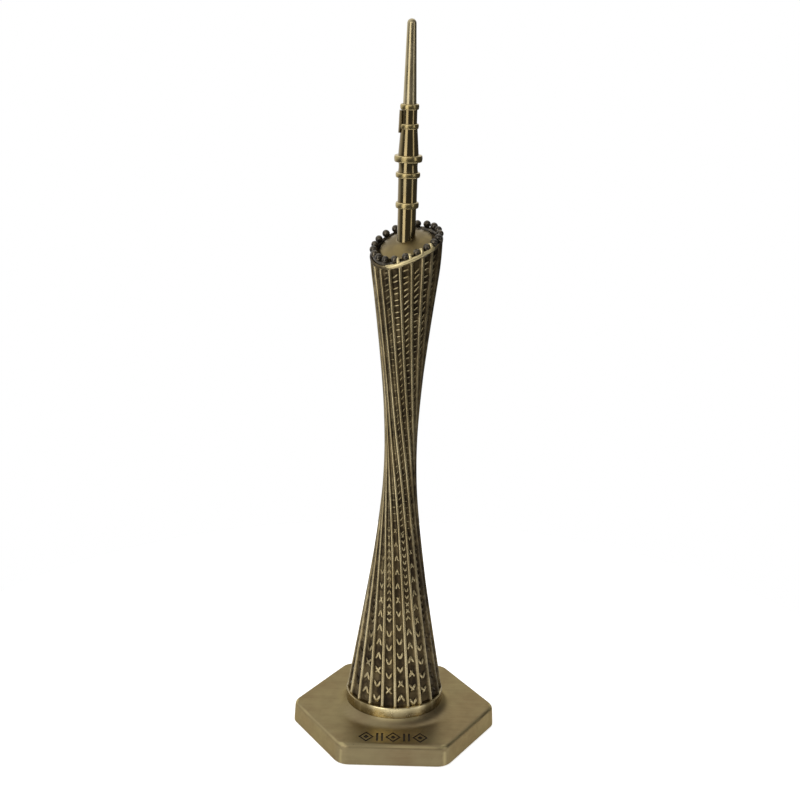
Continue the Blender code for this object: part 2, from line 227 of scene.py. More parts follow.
def lathe(profile, steps=96, closed=False):
    """Turn (radius, height) points about Z. Points nearer a bend get more wear."""
    loops = [circle(r, z, steps) for r, z in profile]
    bend = []
    count = len(profile)
    for k in range(count):
        before = np.array(profile[k - 1] if k or closed else profile[k])
        here = np.array(profile[k])
        after = np.array(profile[(k + 1) % count] if k < count - 1 or closed else profile[k])
        first = here - before
        second = after - here
        turn = abs(first[0] * second[1] - first[1] * second[0])
        size = np.linalg.norm(first) * np.linalg.norm(second)
        bend.append(min(1.0, 3.0 * turn / size) if size > 0 else 0.0)
    points, faces = skin(loops, closed)
    wear_and_light = [value for value in bend for _ in range(steps)]
    return points, faces, wear_and_light


# ================ finishes

def new_material(name, metallic, roughness, colour=(0.5, 0.5, 0.5)):
    mat = bpy.data.materials.new(name)
    mat.use_nodes = True
    shader = mat.node_tree.nodes["Principled BSDF"]
    shader.inputs["Metallic"].default_value = metallic
    shader.inputs["Roughness"].default_value = roughness
    shader.inputs["Base Color"].default_value = (*colour, 1.0)
    return mat, mat.node_tree, shader


def place(tree, scale=(1.0, 1.0, 1.0)):
    """Object coordinates, stretched: a small factor draws the pattern out along that axis."""
    coord = tree.nodes.new("ShaderNodeTexCoord")
    mapping = tree.nodes.new("ShaderNodeMapping")
    mapping.inputs["Scale"].default_value = scale
    tree.links.new(coord.outputs["Object"], mapping.inputs["Vector"])
    return mapping.outputs["Vector"]


def noise(tree, scale, detail=3.0, rough=0.55, stretch=(1.0, 1.0, 1.0)):
    node = tree.nodes.new("ShaderNodeTexNoise")
    node.inputs["Scale"].default_value = scale
    node.inputs["Detail"].default_value = detail
    node.inputs["Roughness"].default_value = rough
    tree.links.new(place(tree, stretch), node.inputs["Vector"])
    return node.outputs["Fac"]


def spread(tree, value, low, high, to_low=0.0, to_high=1.0):
    """Map a value's range smoothly on to another."""
    node = tree.nodes.new("ShaderNodeMapRange")
    node.interpolation_type = "SMOOTHSTEP"
    node.inputs["From Min"].default_value = low
    node.inputs["From Max"].default_value = high
    node.inputs["To Min"].default_value = to_low
    node.inputs["To Max"].default_value = to_high
    tree.links.new(value, node.inputs["Value"])
    return node.outputs["Result"]


def math_node(tree, operation, a, b):
    node = tree.nodes.new("ShaderNodeMath")
    node.operation = operation
    for socket, value in zip(node.inputs, (a, b)):
        if isinstance(value, (int, float)):
            socket.default_value = value
        else:
            tree.links.new(value, socket)
    return node.outputs[0]


def blend_colours(tree, factor, a, b):
    """Mix two colours, each a socket or an RGB triple."""
    node = tree.nodes.new("ShaderNodeMix")
    node.data_type = "RGBA"
    tree.links.new(factor, node.inputs["Factor"])
    for socket, value in ((node.inputs[6], a), (node.inputs[7], b)):
        if isinstance(value, tuple):
            socket.default_value = (*value, 1.0)
        else:
            tree.links.new(value, socket)
    return node.outputs[2]


def mottle(tree, value, low, high, a, b, most=1.0):
    """Mix two colours by a pattern: a where it is below low, b (or most of it) from high up."""
    return blend_colours(tree, spread(tree, value, low, high, 0.0, most), a, b)


def dress(tree, shader, colour, rough=None):
    """Link a colour, and where it varies a roughness, to the shader."""
    tree.links.new(colour, shader.inputs["Base Color"])
    if rough is not None:
        tree.links.new(rough, shader.inputs["Roughness"])


def wear_and_light_value(tree):
    # reads the wear attribute: rubbing plus painted highlights and painted side light
    node = tree.nodes.new("ShaderNodeAttribute")
    node.attribute_name = "wear_and_light"
    return node.outputs["Fac"]


def add_bump(tree, shader, height, distance):
    node = tree.nodes.new("ShaderNodeBump")
    node.inputs["Distance"].default_value = distance
    tree.links.new(height, node.inputs["Height"])
    tree.links.new(node.outputs["Normal"], shader.inputs["Normal"])


def satin_brass():
    """Plated base: olive satin brass, brushed along X, with browner clouds and rubbed edges, paler still
    where a highlight is painted on the corners and the front of the boss.
    """
    mat, tree, shader = new_material("satin_brass", 1.0, 0.42)
    shader.inputs["Specular Tint"].default_value = (0.86, 0.76, 0.55, 1.0)
    clouds = noise(tree, 60.0)
    tone = mottle(tree, clouds, 0.35, 0.68, (0.250, 0.202, 0.108), (0.228, 0.170, 0.092))
    grain = noise(tree, 900.0, 4.0, 0.6, (0.06, 1.0, 1.0))
    tone = mottle(tree, grain, 0.3, 0.75, tone, (0.30, 0.25, 0.135), 0.35)
    specks = noise(tree, 1500.0, 2.0)
    tone = mottle(tree, specks, 0.68, 0.78, tone, (0.10, 0.075, 0.045), 0.45)
    # paler where the edges are rubbed and where highlights are painted on the corners and the boss's
    # front
    edge = math_node(tree, "ADD", wear_and_light_value(tree), spread(tree, clouds, 0.3, 0.7, -0.15, 0.15))
    tone = mottle(tree, edge, 0.45, 1.1, tone, (0.47, 0.39, 0.20))
    dress(tree, shader, tone, spread(tree, noise(tree, 240.0, 4.0), 0.3, 0.7, 0.37, 0.48))
    add_bump(tree, shader, grain, 0.000012)
    return mat


def deck_brass():
    """Disc at the top: the same plate, softer and yellower, unbrushed."""
    mat, tree, shader = new_material("deck_brass", 1.0, 0.42)
    clouds = noise(tree, 160.0)
    tone = mottle(tree, clouds, 0.35, 0.65, (0.250, 0.188, 0.080), (0.190, 0.145, 0.068))
    tone = mottle(tree, wear_and_light_value(tree), 0.2, 1.0, tone, (0.34, 0.28, 0.17), 0.8)
    dress(tree, shader, tone, spread(tree, clouds, 0.3, 0.7, 0.34, 0.44))
    add_bump(tree, shader, noise(tree, 1800.0), 0.000006)
    return mat


def patina_brass():
    """Tower casting: near-black brown in the bays, streaky brass where the relief was rubbed back, and
    paler where light from the left and the front is painted on.
    """
    mat, tree, shader = new_material("antique_brass", 0.95, 0.4)
    clouds = noise(tree, 150.0, 4.0, 0.65)
    pits = noise(tree, 1300.0, 4.0, 0.62)
    streaks = noise(tree, 420.0, 3.0, 0.5, (1.0, 1.0, 0.10))
    dark = mottle(tree, clouds, 0.35, 0.65, (0.034, 0.024, 0.014), (0.100, 0.072, 0.034))
    brass = mottle(tree, streaks, 0.3, 0.7, (0.38, 0.30, 0.155), (0.54, 0.45, 0.26))
    rubbed_and_lit = math_node(tree, "ADD", wear_and_light_value(tree), spread(tree, pits, 0.25, 0.75, -0.06, 0.06))
    rubbed_and_lit = math_node(tree, "ADD", rubbed_and_lit, spread(tree, clouds, 0.3, 0.7, -0.10, 0.10))
    mask = spread(tree, rubbed_and_lit, 0.12, 0.85)
    dress(tree, shader, blend_colours(tree, mask, dark, brass), spread(tree, mask, 0.0, 1.0, 0.5, 0.27))
    add_bump(tree, shader, pits, 0.000016)
    return mat


def turned_brass(name, pale, deep, rough, cloud_scale):
    """Polished, lathe-turned brass: darker patina in clouds, paler where the edges are rubbed and where
    a highlight is painted on the collar's front.
    """
    mat, tree, shader = new_material(name, 1.0, rough)
    clouds = noise(tree, cloud_scale)
    streaks = noise(tree, 420.0, 2.0, 0.5, (1.0, 1.0, 0.12))
    tone = mottle(tree, clouds, 0.35, 0.7, deep, tuple(0.7 * c for c in deep))
    tone = mottle(tree, streaks, 0.5, 0.8, tone, pale, 0.5)
    rubbed_and_lit = math_node(tree, "ADD", wear_and_light_value(tree), spread(tree, clouds, 0.3, 0.7, -0.25, 0.25))
    tone = mottle(tree, rubbed_and_lit, 0.25, 0.95, tone, pale)
    smoothest = max(rough - 0.04, 0.05)
    dress(tree, shader, tone, spread(tree, clouds, 0.3, 0.7, smoothest, rough + 0.06))
    return mat


def black_bead():
    """Glossy near-black, smeared with brass."""
    mat, tree, shader = new_material("black_bead", 0.75, 0.24)
    smudge = noise(tree, 650.0)
    tone = mottle(tree, smudge, 0.45, 0.75, (0.075, 0.066, 0.052), (0.190, 0.155, 0.100))
    dress(tree, shader, tone, spread(tree, smudge, 0.3, 0.7, 0.13, 0.28))
    add_bump(tree, shader, noise(tree, 900.0, 2.0), 0.000004)
    return mat


def engraving_paint():
    """Blackened floor of the engraved ornament."""
    mat, tree, shader = new_material("engraving", 0.5, 0.6)
    pits = noise(tree, 2500.0)
    dress(tree, shader, mottle(tree, pits, 0.35, 0.7, (0.018, 0.013, 0.010), (0.055, 0.042, 0.027)))
    add_bump(tree, shader, pits, 0.00004)
    return mat


def felt():
    """Black felt with pale fibres."""
    mat, tree, shader = new_material("felt", 0.0, 0.95)
    shader.inputs["Sheen Weight"].default_value = 0.35
    fibres = noise(tree, 3200.0, 5.0, 0.7)
    tufts = noise(tree, 700.0)
    dress(tree, shader, mottle(tree, fibres, 0.35, 0.7, (0.010, 0.010, 0.011), (0.045, 0.045, 0.048)))
    add_bump(tree, shader, math_node(tree, "ADD", fibres, tufts), 0.00012)
    return mat


def zinc_steel():
    """Zinc-plated screw and washer."""
    mat, tree, shader = new_material("zinc_steel", 1.0, 0.35)
    spangle = noise(tree, 900.0)
    tone = mottle(tree, spangle, 0.35, 0.7, (0.48, 0.49, 0.51), (0.62, 0.62, 0.60))
    dress(tree, shader, tone, spread(tree, spangle, 0.3, 0.7, 0.28, 0.44))
    add_bump(tree, shader, spangle, 0.00002)
    return mat


# ================ base

HEX_CORNER_STEPS = 8
HEX_SIDE_STEPS = 12
HEX_POINTS = 6 * (HEX_CORNER_STEPS + HEX_SIDE_STEPS)
SHARP_EDGE = 40.0                  # degrees between faces from which the base's edges show sharp


def hexagon(inset, z):
    """Rounded hexagon, moved in by inset, with two of its corners on the X axis."""
    apothem = HEX_APOTHEM - inset
    rounding = max(CORNER_ROUND - inset, 0.4 * MM)
    centre = (apothem - rounding) / math.cos(math.radians(30.0))

    def on_corner(corner, turn):
        """Point of a corner's arc, turn degrees round from its middle."""
        middle = math.radians(60.0 * corner)
        angle = middle + math.radians(turn)
        x = centre * math.cos(middle) + rounding * math.cos(angle)
        y = centre * math.sin(middle) + rounding * math.sin(angle)
        return x, y, z

    points = []
    for corner in range(6):
        for k in range(HEX_CORNER_STEPS + 1):
            points.append(on_corner(corner, -30.0 + 60.0 * k / HEX_CORNER_STEPS))
        end = points[-1]
        following = on_corner(corner + 1, -30.0)
        for k in range(1, HEX_SIDE_STEPS):
            share = k / HEX_SIDE_STEPS
            x = end[0] + (following[0] - end[0]) * share
            y = end[1] + (following[1] - end[1]) * share
            points.append((x, y, z))
    return points


def front_highlight(x, y):
    """Painted highlight on the collar and the boss below it: paler brass at the front only."""
    return faced(math.atan2(y, x), 4.0, 22.0, 40.0)


def corner_highlight():
    """Painted highlight round the hexagon: 1 on the middle of a corner."""
    values = []
    for _ in range(6):
        for k in range(HEX_CORNER_STEPS + 1):
            values.append(0.85 * math.sin(math.pi * k / HEX_CORNER_STEPS) ** 4)
        values.extend([0.0] * (HEX_SIDE_STEPS - 1))
    return values


def bar_prism(x, y0, y1, width, low, high):
    """Closed bar along Y with square ends."""
    left = x - width / 2.0
    right = x + width / 2.0
    outline = ((right, y0), (right, y1), (left, y1), (left, y0))
    return skin([[(*p, low) for p in outline], [(*p, high) for p in outline]])


def diamond_ring(cx, cy, half_x, half_y, width, low, high):
    """Closed ring whose outline is a lozenge."""
    corners = ((1, 0), (0, 1), (-1, 0), (0, -1))
    inner = 1.0 - width / min(half_x, half_y)

    def loop(scale, z):
        return [(cx + sx * half_x * scale, cy + sy * half_y * scale, z) for sx, sy in corners]

    return skin([loop(1.0, low), loop(1.0, high), loop(inner, high), loop(inner, low)], closed=True)


def ornament_cutter():
    """A plain row of lozenges and upright bars, in place of lettering."""
    middle_y = -25.7 * MM
    low = BASE_TOP - 0.3 * MM
    high = BASE_TOP + 1.0 * MM
    line = 0.72 * MM
    half_x = 2.7 * MM
    half_y = 3.4 * MM
    step = 4.7 * MM
    small = 0.35                   # the inner lozenge's share of the outer one
    half_bar = 0.8 * half_y
    half_gap = 0.85 * MM
    parts = []
    for k in (-2, 0, 2):
        x = k * step
        parts.append(diamond_ring(x, middle_y, half_x, half_y, line, low, high))
        parts.append(diamond_ring(x, middle_y, small * half_x, small * half_y, 0.3 * half_x, low, high))
    for k in (-1, 1):
        for x in (k * step - half_gap, k * step + half_gap):
            parts.append(bar_prism(x, middle_y - half_bar, middle_y + half_bar, line, low, high))
    return add_mesh("ornament_cutter", merge([even(shape) for shape in parts]), [MATERIALS["engraving"]])


def base_casting():
    """The base plate: boss and run-out, rounded hexagon, recess for the felt, bore and engraving."""
    phase = math.radians(-30.0) * HEX_CORNER_STEPS / (HEX_CORNER_STEPS + HEX_SIDE_STEPS)
    corner = corner_highlight()
    loops, wear_and_light = [], []

    def add(loop, value):
        loops.append(loop)
        wear_and_light.extend(value if isinstance(value, list) else [value] * HEX_POINTS)

    add(circle(BASE_BORE, BOSS_TOP, HEX_POINTS, phase), 0.0)
    add(circle(BOSS_RADIUS - 0.3 * MM, BOSS_TOP, HEX_POINTS, phase), 0.3)
    steps = 16
    for k in range(steps + 1):
        t = k / steps
        z = BASE_TOP + BOSS_FILLET * (1.0 - t) ** 3.2
        ring = circle(BOSS_RADIUS + BOSS_SPREAD * t, z, HEX_POINTS, phase)
        # painted highlight on the boss's run-out at the front, fading outwards
        add(ring, [0.8 * (1.0 - t) ** 3 * front_highlight(x, y) for x, y, _ in ring])
    add(hexagon(DRAFT + TOP_ROUND + 1.2 * MM, BASE_TOP), 0.0)
    steps = 9
    for k in range(steps + 1):
        angle = math.radians(90.0 - 90.0 * k / steps)
        inset = DRAFT + TOP_ROUND * (1.0 - math.cos(angle))
        rounded = math.sin(math.pi * (k + 0.5) / (steps + 1)) ** 2
        z = BASE_TOP - TOP_ROUND * (1.0 - math.sin(angle))
        # the top rounding is rubbed paler all round; the corners add a painted highlight
        add(hexagon(inset, z), [min(1.0, 0.72 * rounded + 0.5 * c) for c in corner])
    # painted highlight on the upright corners
    add(hexagon(0.8 * DRAFT, BASE_TOP - 1.6 * TOP_ROUND), corner)
    add(hexagon(0.0, BASE_BOTTOM + 0.9 * MM), corner)
    add(hexagon(0.0, BASE_BOTTOM + 0.25 * MM), [0.3 + 0.6 * c for c in corner])
    add(hexagon(0.25 * MM, BASE_BOTTOM), 0.3)
    recess = PAD_INSET - 0.25 * MM
    add(hexagon(recess, BASE_BOTTOM), 0.0)
    add(hexagon(recess, PAD_TOP + 0.1 * MM), 0.0)
    washer_bore = reach("base_washer") + 0.5 * MM
    ceiling = top("base_washer") + 0.15 * MM
    add(circle(washer_bore, PAD_TOP + 0.1 * MM, HEX_POINTS, phase), 0.0)
    add(circle(washer_bore, ceiling, HEX_POINTS, phase), 0.0)
    add(circle(BASE_BORE, ceiling, HEX_POINTS, phase), 0.0)
    finishes = [MATERIALS["satin"], MATERIALS["engraving"]]
    plate = add_mesh("base_casting", (*skin(loops, closed=True), wear_and_light), finishes, SHARP_EDGE)
    flip_outward(plate)
    cutter = ornament_cutter()
    flip_outward(cutter)
    cut = plate.modifiers.new("engraving", "BOOLEAN")
    cut.operation = "DIFFERENCE"
    cut.solver = "EXACT"
    cut.object = cutter
    cut.material_mode = "TRANSFER"
    apply_modifiers(plate)
    bpy.data.objects.remove(cutter, do_unlink=True)
    finish_piece(plate, "base_plate")


def apply_modifiers(obj):
    """Replace the mesh with the evaluated one, so that no modifier is left on the piece."""
    graph = bpy.context.evaluated_depsgraph_get()
    mesh = bpy.data.meshes.new_from_object(obj.evaluated_get(graph))
    obj.modifiers.clear()
    obj.data = mesh
    mesh.set_sharp_from_angle(angle=math.radians(SHARP_EDGE))


def flip_outward(obj):
    """Turn all faces outwards, whichever way the loops ran."""
    bm = bmesh.new()
    bm.from_mesh(obj.data)
    bmesh.ops.recalc_face_normals(bm, faces=bm.faces)
    bm.to_mesh(obj.data)
    bm.free()


def finish_piece(obj, node):
    """Every piece rides on the one body and stands for its CAD node if any."""
    flip_outward(obj)
    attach(obj, "root")
    if node is not None:
        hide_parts(node)


def add_piece(name, node, shape, material, sharp=None):
    """Make a whole piece of one material."""
    obj = add_mesh(name, shape, [MATERIALS[material]], sharp)
    finish_piece(obj, node)
    return obj


def foot_ring():
    """Polished collar at the tower's foot."""
    low = BOSS_TOP
    inner = BOSS_RADIUS - 1.7 * MM
    corners = [
        (inner, low), (BOSS_RADIUS - 0.02 * MM, low), (BOSS_RADIUS, low + 0.4 * MM),
        (BOSS_RADIUS - 0.1 * MM, COLLAR_TOP), (inner, COLLAR_TOP + 0.1 * MM), (inner, low + 0.2 * MM),
    ]
    points, faces, _ = lathe(fillet(corners, 0.35 * MM, 5), 160, closed=True)
    # painted highlight: the collar is paler at the front only
    wear_and_light = [front_highlight(x, y) for x, y, _ in points]
    add_piece("foot_ring", "foot_collar", (points, faces, wear_and_light), "collar", sharp=50)


def felt_sheet():
    """Felt glued into the underside: a sheet with a slightly soft, uneven edge."""
    low = bottom("felt_pad")
    thick = PAD_TOP - low
    # each row's inset from the pad's outline in millimetres and its height: under, edge, over
    levels = (
        (20.0, low), (10.0, low), (0.9, low),
        (0.35, low + 0.02 * MM), (0.0, low + 0.25 * thick), (0.0, low + 0.75 * thick), (0.2, PAD_TOP),
        (10.0, PAD_TOP), (20.0, PAD_TOP),
    )
    points, faces = skin([hexagon(PAD_INSET + inset * MM, z) for inset, z in levels])
    unevenness = 0.03 * MM
    jitter = rng.normal(0.0, unevenness, (len(points), 2))
    shifted = [(x + dx, y + dy, z) for (x, y, z), (dx, dy) in zip(points, jitter)]
    obj = add_piece("felt_sheet", "felt_pad", even((shifted, faces)), "felt", sharp=60)


# ================ tower

def tower_radius(z):
    """Radius over the ribs at a height."""
    below_flat = min(z, FLATTEN_Z)
    flare = FLARE_BELOW if below_flat < WAIST_Z else FLARE_ABOVE
    radius = math.hypot(WAIST_RADIUS, flare * (below_flat - WAIST_Z))
    if z > FLATTEN_Z:
        steepness = flare * flare * (FLATTEN_Z - WAIST_Z) / radius
        over = min(z - FLATTEN_Z, FLATTEN_OVER)
        radius += steepness * (over - over * over / (2.0 * FLATTEN_OVER))
    return radius


def rib_angle(number, z):
    """Direction of a rib at a height; half numbers are the middles of the bays."""
    away = (z - TWIST_Z) / TWIST_SCALE
    angle = FIRST_RIB - TWIST_RATE * math.atan(away) + TAU * number / RIBS
    opening = OPEN_AT_WAIST - OPEN_LOSS * away * away / (1.0 + away * away) + OPEN_RISE * away
    return FRONT + angle + 0.5 * opening * math.sin(2.0 * angle)


def rib_sizes(number, z, radius):
    """Half widths of a rib at its top and foot and the bays' depth, less where ribs stand close."""
    room = (rib_angle(number + 0.5, z) - rib_angle(number - 0.5, z)) * radius
    upper = min(1.0, max(0.0, (z - UPPER_Z) / (30.0 * MM)))
    half_top = min((0.34 + 0.08 * upper + 0.005 * radius / MM) * MM, (0.24 + 0.03 * upper) * room)
    half_foot = half_top + min((0.14 + 0.017 * radius / MM) * MM, 0.16 * room)
    depth = (0.42 + 0.034 * radius / MM) * MM
    return half_top, half_foot, depth


def slope(x, y):
    """How far the sloping rim is above its middle."""
    return SLOPE_X * x + SLOPE_Y * y


def lip(angle):
    """The rim's band climbs a little at the front, most of it to the right of the middle."""
    return LIP * max(0.0, math.cos(angle - FRONT - LIP_TURN)) ** 3


def band_highlight(angle):
    """Painted highlight on the rim's band in a direction, from 0 to 1: full near the front, none from
    the sides on.
    """
    return faced(angle, 12.0, 36.0, 54.0)


def at_back(angle):
    """1 at the back, 0 from the sides on."""
    return faced(angle, 180.0, 40.0, 80.0)


def strokes_front_light(angle, z):
    """Painted light on the strokes: most at the front, further to the right higher up, and at the back;
    less near the waist.
    """
    turned = 11.0 * (z - BASE_TOP) / (RIM_Z - BASE_TOP)
    faint = 0.35 * math.exp(-((z - WAIST_Z) / (30.0 * MM)) ** 2)
    return 0.22 + (0.78 - faint) * max(faced(angle, turned, 26.0, 56.0), 0.8 * at_back(angle))


def bays_side_light(point):
    """Paler bay floors: a little all round, and more on the left as painted light, above all at the
    waist.
    """
    x, y, z = point
    at_waist = math.exp(-((z - WAIST_Z) / (50.0 * MM)) ** 2)
    return 0.08 + (0.10 + 0.20 * at_waist) * faced(math.atan2(y, x), -70.0, 35.0, 75.0)


def ribs_side_light(angle):
    """Painted light on the ribs: full from the left to the front and at the back, less on the right."""
    return 0.36 + 0.64 * max(faced(angle, -25.0, 38.0, 90.0), at_back(angle))


# Columns across one rib: the share of the rib's half top, the share of its flank beyond that, the height
# as a share of the depth beside the rib, and the wear, higher on the left flank than the right as
# painted light from the left.
RIB_COLUMNS = (
    (-1.0, 1.0, 0.0, 0.16),
    (-1.0, 0.5, 0.40, 0.45),
    (-0.95, 0.0, 0.80, 0.80),
    (-0.5, 0.0, 0.95, 1.0),
    (0.0, 0.0, 1.0, 1.0),
    (0.5, 0.0, 0.95, 1.0),
    (0.95, 0.0, 0.80, 0.70),
    (1.0, 0.5, 0.40, 0.32),
    (1.0, 1.0, 0.0, 0.12),
)
BAY_COLUMNS = (-0.55, 0.0, 0.55)   # shares of the bay's half width
COLUMNS = len(RIB_COLUMNS) + len(BAY_COLUMNS)


def bay_floor(across):
    """Depth of the hollow floor across a bay, as a share of the depth beside the ribs."""
    return 1.3 - 0.3 * across ** 2


def half_bay(number, z, radius):
    """Half the clear width of the bay after a rib."""
    span = (rib_angle(number + 1, z) - rib_angle(number, z)) * radius
    left_foot = rib_sizes(number, z, radius)[1]
    right_foot = rib_sizes(number + 1, z, radius)[1]
    return (span - left_foot - right_foot) / 2.0


def surface_point(number, arc, inward, z_middle, share):
    """Point of the tower's skin: arc is how far it lies round from a rib (or bay), inward how deep."""
    z = z_middle
    for _ in range(3):
        radius = tower_radius(z)
        angle = rib_angle(number, z) + arc(z, radius) / radius
        x, y = radius * math.cos(angle), radius * math.sin(angle)
        z = z_middle + share * (slope(x, y) + lip(angle))
    distance = radius - inward(z, radius)
    return (distance * math.cos(angle), distance * math.sin(angle), z)


def bay_point(bay, across, z_middle, share, ribbed=1.0, pull=0.0):
    """Point of a bay's floor, across from -1 at its left rib's foot to 1 at its right rib's."""

    def arc(z, radius):
        return across * half_bay(bay, z, radius)

    def inward(z, radius):
        return pull + ribbed * rib_sizes(bay, z, radius)[2] * bay_floor(across)

    return surface_point(bay + 0.5, arc, inward, z_middle, share)


def tower_loop(z_middle, share, ribbed=1.0, pull=0.0):
    """One fine ring of the skin; ribbed fades the bays out, pull moves the whole ring in."""
    points, wear_and_light = [], []
    for rib in range(RIBS):
        for top_share, flank, height, worn in RIB_COLUMNS:
            def arc(z, radius):
                half_top, half_foot, _ = rib_sizes(rib, z, radius)
                return top_share * half_top + math.copysign(flank * (half_foot - half_top), top_share)

            def inward(z, radius):
                return pull + ribbed * (1.0 - height) * rib_sizes(rib, z, radius)[2]

            x, y, z = surface_point(rib, arc, inward, z_middle, share)
            points.append((x, y, z))
            # painted side light: the rib's paleness is scaled down on the right
            wear_and_light.append((worn + (1.0 - ribbed) * (1.0 - worn)) * ribs_side_light(math.atan2(y, x)))
        for across in BAY_COLUMNS:
            point = bay_point(rib, across, z_middle, share, ribbed, pull)
            points.append(point)
            # painted side light on the bay floors, paler on the left
            wear_and_light.append(bays_side_light(point) + (1.0 - ribbed) * 0.90)
    return points, wear_and_light


def tower_skin():
    """The casting: spigot, ribs and bays, band along the sloping rim, and the seat inside it."""
    loops, wear_and_light = [], []
    count = COLUMNS * RIBS

    def plain(radius, z, share, value):
        ring, _ = tower_loop(z, share, 0.0)
        loop = []
        for x, y, _ in ring:
            scale = radius / math.hypot(x, y)
            loop.append((x * scale, y * scale, z + share * slope(x * scale, y * scale)))
        loops.append(loop)
        wear_and_light.extend([value] * count)

    def ribbed_ring(z, share, ribbed, pull=0.0, worn=None):
        loop, values = tower_loop(z, share, ribbed, pull)
        loops.append(loop)
        if worn is not None:
            # painted highlight: the band is paler at the front only
            values = [worn * (0.2 + 0.8 * band_highlight(math.atan2(y, x))) for x, y, _ in loop]
        wear_and_light.extend(values)

    foot = COLLAR_TOP + 0.02 * MM
    spigot = BOSS_RADIUS - 1.75 * MM
    plain(TOWER_BORE, BOSS_TOP + 12.0 * MM, 0.0, 0.0)
    plain(TOWER_BORE, BOSS_TOP + 0.05 * MM, 0.0, 0.0)
    plain(spigot, BOSS_TOP + 0.05 * MM, 0.0, 0.0)
    plain(spigot, foot, 0.0, 0.0)
    ribbed_ring(foot, 0.0, 1.0, 0.12 * MM)
    rows = 230
    ribs_end = RIM_Z - 1.2 * BAND_FACE
    for row in range(rows + 1):
        share = row / rows
        z = foot + 0.12 * MM + (ribs_end - foot - 0.12 * MM) * share
        ribbed_ring(z, share ** 2, 1.0)
    # the band: bays close in an arch under it, then it rolls over to the inside
    for up, ribbed, pull, worn in (
        (-1.12, 0.93, 0.0, None), (-1.02, 0.55, 0.0, None), (-0.95, 0.15, 0.0, None),
        (-0.9, 0.0, 0.0, 0.4), (-0.45, 0.0, -0.06, 1.0), (-0.2, 0.0, 0.04, 1.0),
        (-0.05, 0.0, 0.22, 1.0), (0.0, 0.0, 0.42, 1.0), (-0.04, 0.0, 0.6, 0.8),
        (-0.3, 0.0, 0.7, 0.3), (-RECESS / BAND_FACE, 0.0, 0.74, 0.1),
    ):
        ribbed_ring(RIM_Z + up * BAND_FACE, 1.0, ribbed, pull * MM, worn)
    plain(MAST_BORE, RIM_Z - RECESS, 1.0, 0.1)
    plain(MAST_BORE, bottom("mast_rod") - 0.1 * MM, 0.0, 0.0)
    shape = (*skin(loops), wear_and_light)
    add_piece("tower_skin", "tower_body", shape, "patina", sharp=55)


def ridge(path, outward, side, width, height, sink):
    """Small raised stroke along points, with its outward and sideways axes."""
    loops, wear_and_light = [], []
    last = len(path) - 1
    for k, point in enumerate(path):
        swell = math.sin(math.pi * (k + 0.35) / (last + 0.7)) ** 0.5
        section = (
            (-0.5, -sink, 0.0), (-0.46, 0.5 * height, 0.6), (-0.27, 0.95 * height, 1.0),
            (0.27, 0.95 * height, 1.0), (0.46, 0.5 * height, 0.6), (0.5, -sink, 0.0),
        )
        loop = []
        for across, up, worn in section:
            rise = up * swell if up > 0 else up
            loop.append(tuple(point + side * across * width * swell + outward * rise))
            wear_and_light.append(worn)
        loops.append(loop)
    return (*skin(loops), wear_and_light)


STROKE_PITCH = 5.1 * MM            # from one mark in a bay to the next one above it
STROKE_SHRINK = 0.997              # and what each step keeps of the one below
STROKE_START = 3.1 * MM            # first mark above the collar
STROKE_STAGGER = -0.34             # of the pitch, from bay to bay
STROKE_HALF = 1.30 * MM            # half the height of a mark
STROKE_REACH = 0.88                # how far a mark reaches towards the ribs
STROKE_RELIEF = 0.6                # a mark's height over the bay's floor, as a share of its depth
LOWEST_MARK = 1.1 * MM             # above the collar
HIGHEST_MARK = 2.1 * MM            # below the rim
CLOSE_FROM = COLLAR_TOP + 27.0 * MM  # from here to UPPER_Z every second bay has its marks closer
CLOSE_PITCH = 0.5                  # their pitch as a share of the others', and less so their size
CLOSE_HALF = CLOSE_PITCH ** 0.7 * STROKE_HALF
CLOSE_THIN = 0.85
DASH_THIN = 0.72                   # a dash's width as a share of a leg's
DASH_RISE = 0.30 * MM              # half a dash's rise to the right midway from level to steepest
CHANGE_ROWS = 10.7                 # the marks turn from Lambda over X to V and back in so many rows
CHANGE_FIRST = 6.7                 # row of the X in bay 0
CHANGE_TURN = 0.585                # share of a full change from bay to bay
CHANGE_SPEED = 1.8                 # above 1, so that few marks are between the kinds


def mark_leg(bay, level, side, crossing, tallest):
    """Points along one leg of a mark: crossing is 1 for a Lambda, 0 for an X and -1 for a V.

    From UPPER_Z up the legs are dashes, level where crossing is -1 and steepest where it is 1.
    """
    dashed = level > UPPER_Z
    steps = 4
    up = 1.0 if crossing > 0.0 else -1.0
    path = []
    for k in range(steps + 1):
        t = k / steps
        if dashed:
            across = 2.0 * t - 1.0
            z = level + side * STROKE_PITCH / 4.0 + (1.0 + crossing) * DASH_RISE * across
        else:
            across = side * STROKE_REACH * (1.0 - t * (2.0 - abs(crossing)))
            half = min(tallest, 1.2 * half_bay(bay, level, tower_radius(level)))
            z = level + up * half * (2.0 * t - 1.0)
        share = min(1.0, max(0.0, (z - COLLAR_TOP) / (RIM_Z - COLLAR_TOP))) ** 2
        path.append(np.array(bay_point(bay, across, z, share)))
    return path


